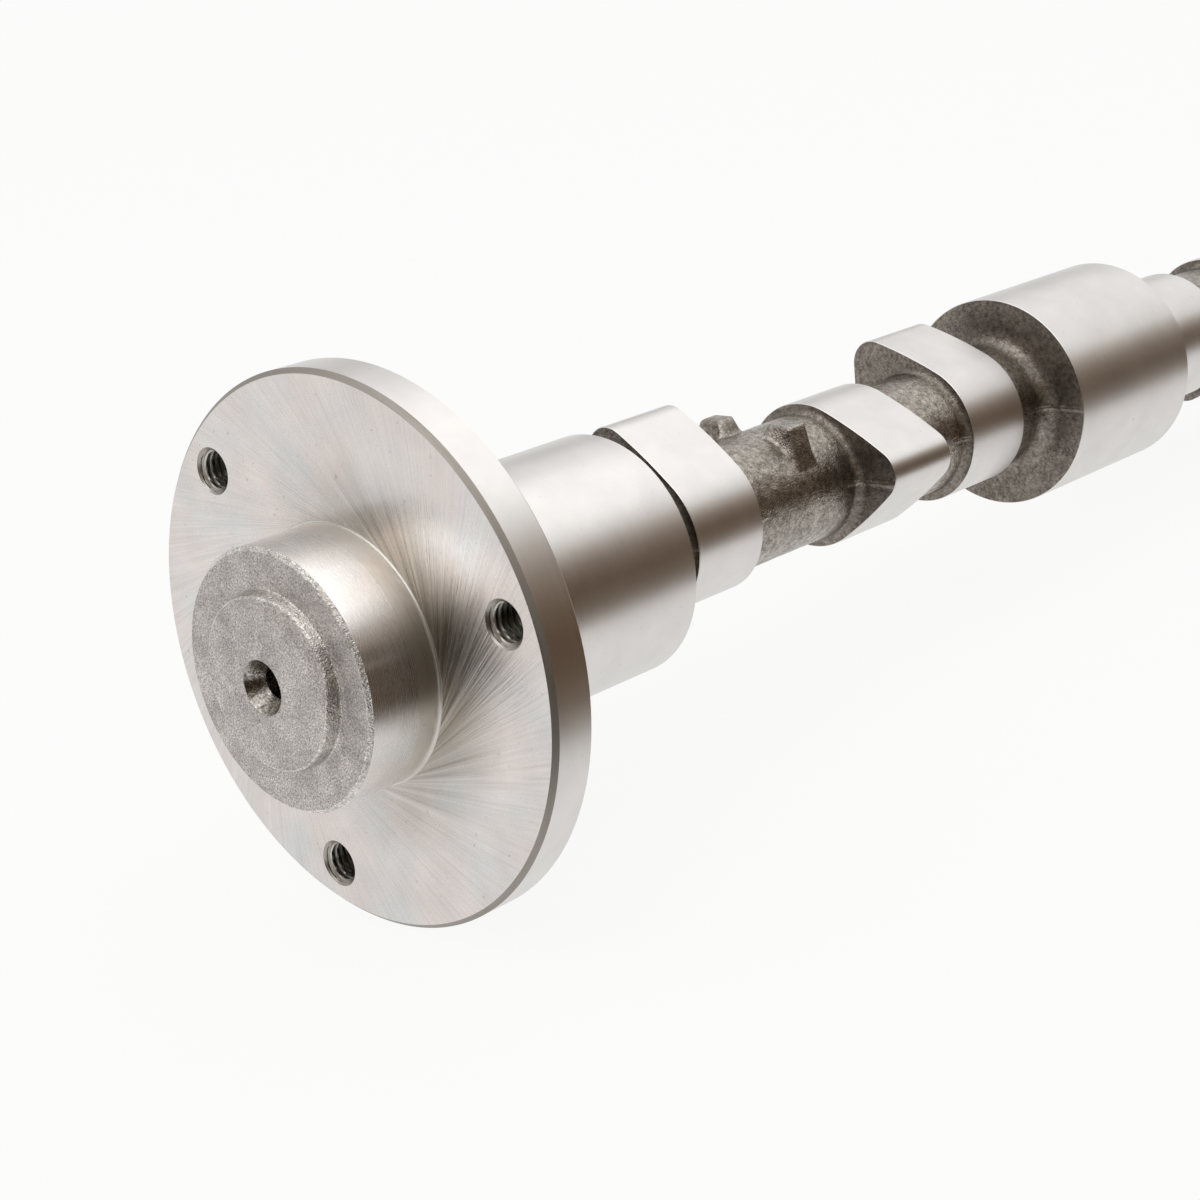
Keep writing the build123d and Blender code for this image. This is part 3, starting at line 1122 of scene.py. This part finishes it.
@dataclass
class GearEnd(Profile):
    """The front of the shaft: centre hole, boss, spigot, gear flange and half of the front journal."""

    taps: TappedHoles
    tapped: Material
    flange_diameter: float = 101.6
    flange_thickness: float = 9.2
    flange_chamfer: float = 0.9
    journal_relief: float = 0.6
    journal_relief_length: float = 0.5
    journal_step: float = 9.0
    face_step: float = 4.0
    spigot_length: float = 15.6
    spigot_chamfer: float = 0.8
    seat_width: float = 4.7
    relief_depth: float = 0.14
    relief_width: float = 0.5
    relief_slopes: Pair = (0.1, 0.2)
    boss_diameter: float = 31.0
    boss_height: float = 3.3
    boss_edge: float = 0.42
    boss_root: float = 0.65
    boss_taper: float = 0.3
    boss_shift: float = 1.4
    boss_shift_angle: float = 140.0
    shift_fade: float = 2.0
    shift_gap: float = 0.2
    bevel_depth: float = 1.3
    bevel_width: float = 2.4
    bevel_angle: float = 132.0
    bevel_spread: float = 38.0
    hole: CentreHole = CentreHole()
    grit_step: float = 0.42
    grit_depth: float = 0.04
    ease: float = 0.15
    mouth_ease: float = 0.12
    drill_ease: float = 0.02
    pilot_step: float = 1.5
    cone_step: float = 0.4
    chamfer_step: float = 0.3
    seat_step: float = 2.5
    back_step: float = 5.0

    def end_face(self) -> None:
        """Lay the centre hole, the boss and the gritty end of the spigot."""
        face = -self.spigot_length
        tip = face - self.boss_height + self.grit_depth
        mouth, pilot = self.hole.radii
        cone, bottom, point = (tip + depth for depth in self.hole.depths)
        self.lay(Zone.CENTRE, (point, 0.0), (bottom + self.drill_ease, pilot - self.drill_ease),
                 (bottom, pilot), (cone, pilot, self.pilot_step),
                 (tip + self.mouth_ease, mouth, self.cone_step))
        boss, edge, root = self.boss_diameter / 2, self.boss_edge, self.boss_root
        self.lay(Zone.BLASTED, (tip, mouth + self.ease), (tip, boss - edge, self.grit_step))
        # Each arc stops a few degrees short of its neighbour's line, so that no two rings lie on each other
        self.zone = Zone.TORN_EDGE
        self.arc((tip + edge, boss - edge), edge, 180, 95, 4)
        foot, heel = boss + self.boss_taper, face - root - self.ease
        self.to(heel, foot, self.grit_step)
        self.arc((heel, foot + root), root, -85, -40, 3)
        # Only the half of the fillet that faces outwards is torn bright
        self.zone = Zone.BLASTED
        self.arc((heel, foot + root), root, -40, -4, 3)
        self.to(face, foot + root + self.ease)
        self.to(face, SPIGOT.radius - self.spigot_chamfer, self.grit_step)
        self.lay(Zone.TORN_EDGE, (face + self.spigot_chamfer, SPIGOT.radius, self.chamfer_step))
        for ring in self.rings:
            self.shift(ring)

    def shift(self, ring: Ring) -> None:
        """Move a ring of the cast boss off the machined axis, and knock the boss's edge down on one side.

        The move fades out towards the centre hole and the spigot's rim, which stay round. The bevel is
        deepest at one angle and takes nothing below the spigot's end.

        Args:
            ring: the ring that is moved.
        """
        boss = self.boss_diameter / 2
        stops = (self.hole.radii[0] + self.shift_gap, boss - self.shift_fade, boss + self.shift_fade,
                 SPIGOT.radius - self.spigot_chamfer)
        share = np.interp(ring.radius, stops, (0, 1, 1, 0))
        if not share:
            return
        base = -self.spigot_length - self.shift_gap
        side = (ANGLES - math.radians(self.bevel_angle) + math.pi) % TURN - math.pi
        window = np.exp(-(np.degrees(side) / self.bevel_spread) ** 4)
        rise = np.clip((ring.radius - boss) / self.bevel_width + 1.0, 0.0, 1.0)
        room = (base - ring.x) / (base + self.spigot_length + self.boss_height)
        if room > 0:
            ring.x = ring.x + self.bevel_depth * rise * window * room
        away = ANGLES - math.radians(self.boss_shift_angle)
        ring.radius = ring.radius + share * self.boss_shift * np.cos(away)

    def flange(self) -> None:
        """Lay the spigot's two ground bands, the relief at its root, the flange and the journal."""
        spigot, journal, rim = SPIGOT.radius, FRONT_JOURNAL.radius, self.flange_diameter / 2
        back, chamfer, step = self.flange_thickness, self.flange_chamfer, self.face_step
        self.lay(Zone.SPIGOT, (-self.seat_width, spigot, step))
        self.lay(Zone.SPIGOT_SEAT, (0.0, spigot, self.seat_step))
        (inner, outer), groove = self.relief_slopes, spigot + self.relief_width
        self.lay(Zone.JOURNAL, (self.relief_depth, spigot + inner), (self.relief_depth, groove - outer),
                 (0.0, groove))
        self.lay(Zone.GEAR_FACE, (0.0, rim - chamfer, step))
        self.lay(Zone.CHAMFER, (chamfer, rim))
        self.lay(Zone.JOURNAL, (back - chamfer, rim, step))
        self.lay(Zone.CHAMFER, (back, rim - chamfer))
        self.lay(Zone.TURNED, (back, journal + self.journal_relief, self.back_step),
                 (back + self.journal_relief_length, journal, self.cone_step))
        self.lay(Zone.JOURNAL, (FRONT_JOURNAL.middle, journal, self.journal_step),
                 (FRONT_JOURNAL.middle, 0.0))

    def plan(self) -> None:
        """Run from the centre hole to the middle of the front journal."""
        self.end_face()
        self.flange()

    def cut(self, piece: Mesh) -> None:
        """Cut the tapped holes."""
        self.taps.cut(piece, self.tapped)


@dataclass
class Lug:
    """One cast locating lug: a block beside the shaft's crown, pulled straight out of the mould."""

    start: float
    side: int
    reach: float
    length: float = 5.6
    width: float = 5.8
    offset: float = 6.7
    pull_angle: float = 82.5
    draft: float = 0.8
    edge: float = 0.9
    flare: float = 0.25
    skirt: float = 0.5
    flattest: float = 0.2
    steepest: float = 0.05

    def rise(self, x: float, core: float) -> np.ndarray:
        """How far out the lug's surface is at one station, or the core's radius where it isn't.

        Args:
            x: the place along the shaft.
            core: the core's radius.

        Returns:
            A radius for each angle.
        """
        angle = ANGLES - math.radians(self.pull_angle)
        out = np.cos(angle)
        beside = np.sin(angle) * self.side
        near, far = self.offset - self.width / 2, self.offset + self.width / 2
        top = np.where(out > self.flattest, self.reach / np.maximum(out, self.flattest), 0.0)
        slope = beside + self.flare * out
        wall = (far + self.flare * self.reach) / np.maximum(slope, self.steepest)
        wall = np.where(slope > self.steepest, wall, math.inf)
        ends = self.length / 2 - abs(x - self.start - self.length / 2)
        fall = np.clip(1.0 - (ends + self.draft / 2) / self.edge, 0.0, 1.0)
        top = top - self.edge * (1.0 - math.sqrt(1.0 - fall**2))
        soft = self.edge / 3
        radius = -soft * np.logaddexp(-top / soft, -wall / soft)
        inner = np.clip((beside * radius - near) / self.draft + 0.5, 0.0, 1.0)
        share = inner * np.clip(ends / self.draft + 0.5, 0.0, 1.0)
        share = share * share * (3 - 2 * share)
        inside = (out > self.flattest) & (beside > 0)
        block = np.where(inside, core + np.maximum(radius - core, 0.0) * share, core)
        away = np.hypot(max(0.0, -ends), np.maximum(0.0, abs(beside * core - self.offset) - self.width / 2))
        skirt = core + self.skirt * np.exp(-(away / self.skirt) ** 2)
        return np.where(out > 0, np.maximum(block, skirt), core)


@dataclass(frozen=True)
class Stretch:
    """One stretch of the cast core between two faces, each with a root fillet."""

    near: float
    near_root: float
    far: float
    far_root: float
    side_share: float = 0.8
    seam_fade: float = 1.5

    def fillet(self, x: float) -> float:
        """How far the fillets stand out from the core at one station."""
        rises = [0.0]
        for face, root in ((self.near, self.near_root), (self.far, self.far_root)):
            gap = abs(x - face)
            if gap < root:
                rises.append(root - math.sqrt(root**2 - (root - gap) ** 2))
        return max(rises)

    def zone(self, x: float) -> Zone:
        """The finish at one station: the faces' own on most of each fillet, the core's between them."""
        share = self.side_share
        on_side = x - self.near < share * self.near_root or self.far - x < share * self.far_root
        return Zone.CAST_SIDE if on_side else Zone.CAST_CORE

    def seam_share(self, x: float) -> float:
        """How much of the mould's seam is left at one station: all of it by the fillets, none far off."""
        clear = min(x - self.near - self.near_root, self.far - self.far_root - x)
        return math.exp(-(max(0.0, clear) / self.seam_fade) ** 2)


@dataclass
class LobeGroup(Profile):
    """Three lobes on the cast core between two half journals."""

    law: CamLaw
    front: Mount
    rear: Mount
    lobes: list[tuple[float, int, int]]
    lugs: list[Lug] = field(default_factory=list)
    core_diameter: float = 26.6
    journal_root: float = 3.7
    journal_step: float = 9.0
    lobe_root: float = 1.75
    lobe_width: float = 18.8
    edge: float = 0.14
    core_step: float = 0.45
    least_steps: int = 8
    side_strips: int = 9
    track_shares: tuple[float, ...] = (0.25, 0.5, 0.75)
    face_rings: int = 14
    seam_angle: float = 171.5
    seam_width: float = 0.3
    seam_height: float = 0.38
    ridge_reach: float = 1.3

    def seam(self, radius: float) -> np.ndarray:
        """Find how high the mould's parting seam stands round the shaft.

        Args:
            radius: how far from the axis.

        Returns:
            A height for each angle.
        """
        turn = ANGLES - math.radians(self.seam_angle)
        away = np.abs((turn + math.pi / 2) % math.pi - math.pi / 2) * radius
        return self.seam_height * np.exp(-(away / self.seam_width) ** 2)

    def stretch(self, part: Stretch) -> None:
        """Lay one stretch of core between two faces, with its root fillets, lugs and mould seam.

        Args:
            part: the stretch.
        """
        core = self.core_diameter / 2
        length = part.far - part.near
        steps = max(self.least_steps, round(length / self.core_step))
        for i in range(steps + 1):
            x = part.near + length * i / steps
            radius = np.full(AROUND, core + part.fillet(x))
            for lug in self.lugs:
                radius = np.maximum(radius, lug.rise(x, core))
            self.rings.append(Ring(x, radius + self.seam(core) * part.seam_share(x), part.zone(x)))

    def side(self, x: float, clock: float, into: int) -> None:
        """Lay one flat side of a lobe, from the fillet out to the ground track or back.

        Args:
            x: where the side stands.
            clock: the angle of the lobe's nose.
            into: +1 where the lobe lies behind the side and the rings run out, -1 where they run back.
        """
        root = np.full(AROUND, self.core_diameter / 2 + self.lobe_root)
        shares = np.arange(1, self.side_strips + 1) / self.side_strips
        ridge = -into * self.seam(self.ridge_reach * self.core_diameter / 2)
        rings = [Ring(x + ridge * (share < 1), root, Zone.CAST_SIDE, clock, share, self.edge)
                 for share in shares]
        rim = Ring(x + into * self.edge, root, Zone.JOURNAL, clock, 1.0)
        if into > 0:
            self.rings += [*rings, rim]
        else:
            rings[-1].zone = Zone.JOURNAL
            self.rings += [rim, *rings[::-1]]

    def lobe(self, start: float, clock: float) -> None:
        """Lay one lobe: side, ground track, side.

        Args:
            start: where the lobe starts.
            clock: the angle of its nose.
        """
        self.side(start, clock, 1)
        root = np.full(AROUND, self.core_diameter / 2)
        for share in self.track_shares:
            self.rings.append(Ring(start + self.lobe_width * share, root, Zone.JOURNAL, clock, 1.0))
        self.side(start + self.lobe_width, clock, -1)

    def journal_face(self, face: float, radius: float, into: int) -> None:
        """Lay the cast face of a journal, between its ground rim and the root fillet.

        Args:
            face: where the face stands.
            radius: the journal's radius.
            into: +1 where the journal lies behind the face and the rings run out, -1 where they run back.
        """
        inner = self.core_diameter / 2 + self.journal_root
        *radii, last = np.linspace(inner, radius - self.edge, self.face_rings)[1 if into > 0 else 0:]
        rings = [Ring(face - into * self.seam(r), r, Zone.CAST_SIDE) for r in radii]
        rim = Ring(face + into * self.edge, radius, Zone.JOURNAL)
        if into > 0:
            self.rings += [*rings, Ring(face, last, Zone.CAST_SIDE), rim]
        else:
            self.rings += [rim, Ring(face, last, Zone.JOURNAL), *rings[::-1]]

    def close(self) -> None:
        """End the run at the middle of the rear journal."""
        self.lay(Zone.JOURNAL, (self.rear.middle, self.rear.radius, self.journal_step),
                 (self.rear.middle, 0.0))

    def plan(self) -> None:
        """Run from the middle of the front journal to the middle of the rear one."""
        front_face, rear_face = self.front.ends[1], self.rear.ends[0]
        self.lay(Zone.JOURNAL, (self.front.middle, 0.0), (self.front.middle, self.front.radius))
        self.journal_face(front_face, self.front.radius, -1)
        near, near_root = front_face, self.journal_root
        for start, cylinder, second in self.lobes:
            self.stretch(Stretch(near, near_root, start, self.lobe_root))
            self.lobe(start, self.law.clock(cylinder, second))
            near, near_root = start + self.lobe_width, self.lobe_root
        self.stretch(Stretch(near, near_root, rear_face, self.journal_root))
        self.journal_face(rear_face, self.rear.radius, 1)
        self.close()


@dataclass
class RearLobeGroup(LobeGroup):
    """The rear lobes, with the rear journal's chamfered end and centre hole."""

    core_step: float = 0.6
    chamfer: float = 1.5
    hole: CentreHole = CentreHole()
    face_step: float = 1.5
    cone_step: float = 0.6

    def close(self) -> None:
        """Run over the rear journal to its turned end and into the centre hole."""
        end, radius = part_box("camshaft")[1].x / MM, self.rear.radius
        mouth, pilot = self.hole.radii
        cone, bottom, point = (end - depth for depth in self.hole.depths)
        self.lay(Zone.JOURNAL, (end - self.chamfer, radius, self.journal_step))
        self.lay(Zone.TURNED, (end, radius - self.chamfer), (end, mouth, self.face_step),
                 (cone, pilot, self.cone_step), (bottom, pilot, self.face_step), (point, 0.0))


@dataclass(frozen=True)
class Layout:
    """Where the lobes and lugs stand along the shaft, worked out from the journals."""

    journal_to_lobe_1: float = 10.4
    lobe_1_to_lobe_2: float = 32.8
    lobe_2_to_lobe_3: float = 19.1
    lobe_3_to_journal: float = 11.1
    front_lug_gap: float = 11.0
    rear_lug_gap: float = 16.4

    def front_lobes(self) -> list[tuple[float, int, int]]:
        """Find the front lobes.

        Returns:
            Each lobe's start, its cylinder and its place in the cylinder's pair.
        """
        width = LobeGroup.lobe_width
        first = FRONT_JOURNAL.ends[1] + self.journal_to_lobe_1
        second = first + width + self.lobe_1_to_lobe_2
        return [(first, 1, 0), (second, 1, 1), (second + width + self.lobe_2_to_lobe_3, 2, 1)]

    def rear_lobes(self) -> list[tuple[float, int, int]]:
        """Find the rear lobes, which mirror the front ones about the middle journal.

        Returns:
            Each lobe's start, its cylinder and its place in the cylinder's pair.
        """
        width = LobeGroup.lobe_width
        fourth = MIDDLE_JOURNAL.ends[1] + self.lobe_3_to_journal
        fifth = fourth + width + self.lobe_2_to_lobe_3
        return [(fourth, 2, 0), (fifth, 3, 1), (fifth + width + self.lobe_1_to_lobe_2, 3, 0)]

    def lugs(self) -> list[Lug]:
        """The two cast lugs behind the first lobe, the front one rounder and taller."""
        end = self.front_lobes()[0][0] + LobeGroup.lobe_width
        return [Lug(end + self.front_lug_gap, side=-1, reach=16.4, edge=2.4, draft=1.5),
                Lug(end + self.rear_lug_gap, side=1, reach=15.0)]


@dataclass(frozen=True)
class Card:
    """A shaded card beside the shaft, seen by the metal's reflections alone.

    Its first and last corners are in millimetres, and its shades run from the one to the other in Z, or
    from near to far where it lies flat.
    """

    name: str
    low: tuple[float, float, float]
    high: tuple[float, float, float]
    shades: tuple[tuple[float, str], ...]

    def build(self) -> None:
        """Stand or lay the card, and stage it."""
        (x0, y0, z0), (x1, y1, z1) = self.low, self.high
        flat = z0 == z1
        right, left = (y0, y1) if flat else (y1, y0)
        points = [(x0, y0, z0), (x1, right, z0), (x1, y1, z1), (x0, left, z1)]
        card = place(self.name, points, [(0, 1, 2, 3)])
        material = bpy.data.materials.new(self.name)
        tree = blank_tree(material)
        where = add(tree, "SeparateXYZ", add(tree, "TexCoord").outputs["Object"])
        start, end = (y0, y1) if flat else (z0, z1)
        height = add(tree, "MapRange", where.outputs["Y" if flat else "Z"], start * MM, end * MM, 0.0, 1.0)
        shade = add(tree, "ValToRGB", height)
        ramp = shade.color_ramp.elements
        for position, _ in self.shades[1:-1]:
            ramp.new(position)
        for stop, (position, colour) in zip(ramp, self.shades):
            stop.position, stop.color = position, linear(colour)
        add(tree, "OutputMaterial", Surface=add(tree, "Emission", shade, 1.0))
        card.data.materials.append(material)
        card.visible_camera = card.visible_diffuse = card.visible_shadow = False


@dataclass(frozen=True)
class SoftBox:
    """A soft lamp that hangs level over the shaft."""

    name: str
    along: float
    length: float
    radiance: float
    width: float = 1100.0
    height: float = 900.0

    def build(self) -> None:
        """Hang the lamp, with the power that its size and radiance ask for."""
        data = bpy.data.lights.new(self.name, "AREA")
        data.shape = "RECTANGLE"
        data.size, data.size_y = self.length * MM, self.width * MM
        data.energy = self.radiance * math.pi * data.size * data.size_y
        put(self.name, data).location = (self.along * MM, 0.0, self.height * MM)


@dataclass
class Studio:
    """The white table, the lamps and cards that the metal mirrors, the surroundings and the camera."""

    camera_place: tuple = (-249.87, -296.56, 171.11)
    camera_azimuth: float = -46.633
    camera_elevation: float = 22.6435
    lens: float = 72.83
    sensor: float = 36.0
    clip_start: float = 0.01
    softboxes: tuple = (SoftBox("rear_softbox", 300.0, 1600.0, 0.5),
                        SoftBox("key_softbox", -950.0, 560.0, 2.2))
    cards: tuple = (
        # The brown band low on the journals and lobes
        Card("dark_card", (-20.0, -115.0, -80.0), (700.0, -115.0, 130.0),
             ((0.1, "887d71"), (0.28, "6a5845"), (0.5, "584533"), (0.68, "7d6b5b"), (0.86, "b9afa4"),
              (1.0, "f4f2ee"))),
        # The spigot's shaded side, darker because the flange's face mirrors it back
        Card("dark_front_card", (-420.0, -115.0, -80.0), (-20.0, -115.0, 130.0),
             ((0.1, "544a40"), (0.28, "3d3227"), (0.5, "33281e"), (0.68, "5c5044"), (0.86, "aea59b"),
              (1.0, "f4f2ee"))),
        # The dark foot of the spigot and of the face's scratches below it
        Card("dark_foot", (-330.0, -115.0, -49.0), (-38.0, -78.0, -49.0), ((0.0, "2e261e"), (1.0, "2e261e"))),
        # The dark fans of scratches on the flange's face
        Card("front_card", (-650.0, -700.0, 100.0), (-640.0, 1300.0, 600.0),
             ((0.0, "d8cec4"), (0.15, "6f5f50"), (0.85, "6f5f50"), (1.0, "d8cec4"))),
        # The soft grey band high on the journals
        Card("grey_card", (-1600.0, 1000.0, 140.0), (2200.0, 1000.0, 620.0),
             ((0.0, "f0f0f0"), (0.25, "c9c8c7"), (0.75, "c9c8c7"), (1.0, "f0f0f0"))),
    )
    floor_size: float = 6000.0
    floor_colour: str = "f4f3f1"
    floor_glow: float = 0.9
    clear_from: float = 700.0
    surround: str = "c4c3c1"

    def seen(self, tree: Tree) -> Node:
        """Add the test for rays that look at the backdrop: camera, glossy and transmission rays.

        Args:
            tree: the tree of a material or of the world.

        Returns:
            The node that gives one for such a ray, and zero for the others.
        """
        path = add(tree, "LightPath").outputs
        some = add(tree, "Math MAXIMUM", path["Is Camera Ray"], path["Is Glossy Ray"])
        return add(tree, "Math MAXIMUM", some, path["Is Transmission Ray"])

    def floor(self) -> None:
        """Lay the white table as the shaft would rest on it, on the flange's rim and the rear journal."""
        low, high = CAD_BOX
        drop, back = low.z / MM, GearEnd.flange_thickness
        slope = (-REAR_JOURNAL.radius - drop) / (high.x / MM - back)
        far = self.floor_size / 2
        corners = (-far, -far), (far, -far), (far, far), (-far, far)
        points = [(x, y, drop + slope * (x - back)) for x, y in corners]
        table = place("table", points, [(0, 1, 2, 3)])
        material = bpy.data.materials.new("white_table")
        tree = blank_tree(material)
        white = add(tree, "BsdfDiffuse", Color=linear(self.floor_colour))
        glow = add(tree, "Emission", (1, 1, 1, 1), 1.0)
        away = add(tree, "VectorMath LENGTH", add(tree, "TexCoord").outputs["Object"])
        shine = add(tree, "MapRange", away, self.clear_from * MM, 2 * self.clear_from * MM, self.floor_glow,
                    1.0, interpolation_type="SMOOTHSTEP")
        share = add(tree, "Math MULTIPLY", self.seen(tree), shine)
        add(tree, "OutputMaterial", Surface=add(tree, "MixShader", share, white, glow))
        table.data.materials.append(material)

    def lights(self) -> None:
        """Hang the soft boxes over the shaft and light the surroundings evenly."""
        for softbox in self.softboxes:
            softbox.build()
        world = bpy.data.worlds.new("surroundings")
        bpy.context.scene.world = world
        tree = blank_tree(world)
        shade = add(tree, "Mix", self.seen(tree), linear(self.surround), (1.0, 1.0, 1.0, 1.0),
                    data_type="RGBA")
        add(tree, "OutputWorld", Surface=add(tree, "Background", shade, 1.0))

    def camera(self) -> None:
        """Set the camera at the photograph's viewing angle."""
        data = bpy.data.cameras.new("camera")
        data.lens, data.sensor_width, data.clip_start = self.lens, self.sensor, self.clip_start
        azimuth, elevation = math.radians(self.camera_azimuth), math.radians(self.camera_elevation)
        back = Vector((math.sin(azimuth) * math.cos(elevation), -math.cos(azimuth) * math.cos(elevation),
                       math.sin(elevation)))
        camera = put("camera", data)
        camera.location = Vector(self.camera_place) * MM
        camera.rotation_euler = (-back).to_track_quat("-Z", "Y").to_euler()
        bpy.context.scene.camera = camera

    def build(self) -> None:
        """Set up the whole studio."""
        self.floor()
        for card in self.cards:
            card.build()
        self.lights()
        self.camera()
        bpy.context.scene.view_settings.view_transform = "Standard"


def main() -> None:
    """Build the camshaft's pieces in order from the front, dress them and set up the studio."""
    logging.basicConfig(level=logging.INFO, format="%(message)s")
    law, skin, dressing, layout = CamLaw(), CastSkin(), finishes(), Layout()
    tree = shaft_tree(law, skin, dressing)
    values = {**law.inputs(), **skin.inputs()}
    pieces = [
        GearEnd("camshaft_gear_end", tree, values, TappedHoles(GearEnd.flange_thickness),
                dressing[Zone.TAPPED]).build(),
        LobeGroup("camshaft_front_lobes", tree, values, law, FRONT_JOURNAL, MIDDLE_JOURNAL,
                  layout.front_lobes(), layout.lugs()).build(),
        RearLobeGroup("camshaft_rear_lobes", tree, values, law, MIDDLE_JOURNAL, REAR_JOURNAL,
                      layout.rear_lobes()).build(),
    ]
    for piece in pieces:
        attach(piece, "root")
        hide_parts("camshaft")
        log.info("%s: %d faces", piece.name, len(piece.data.polygons))
    Studio().build()


if __name__ == "__main__":
    main()
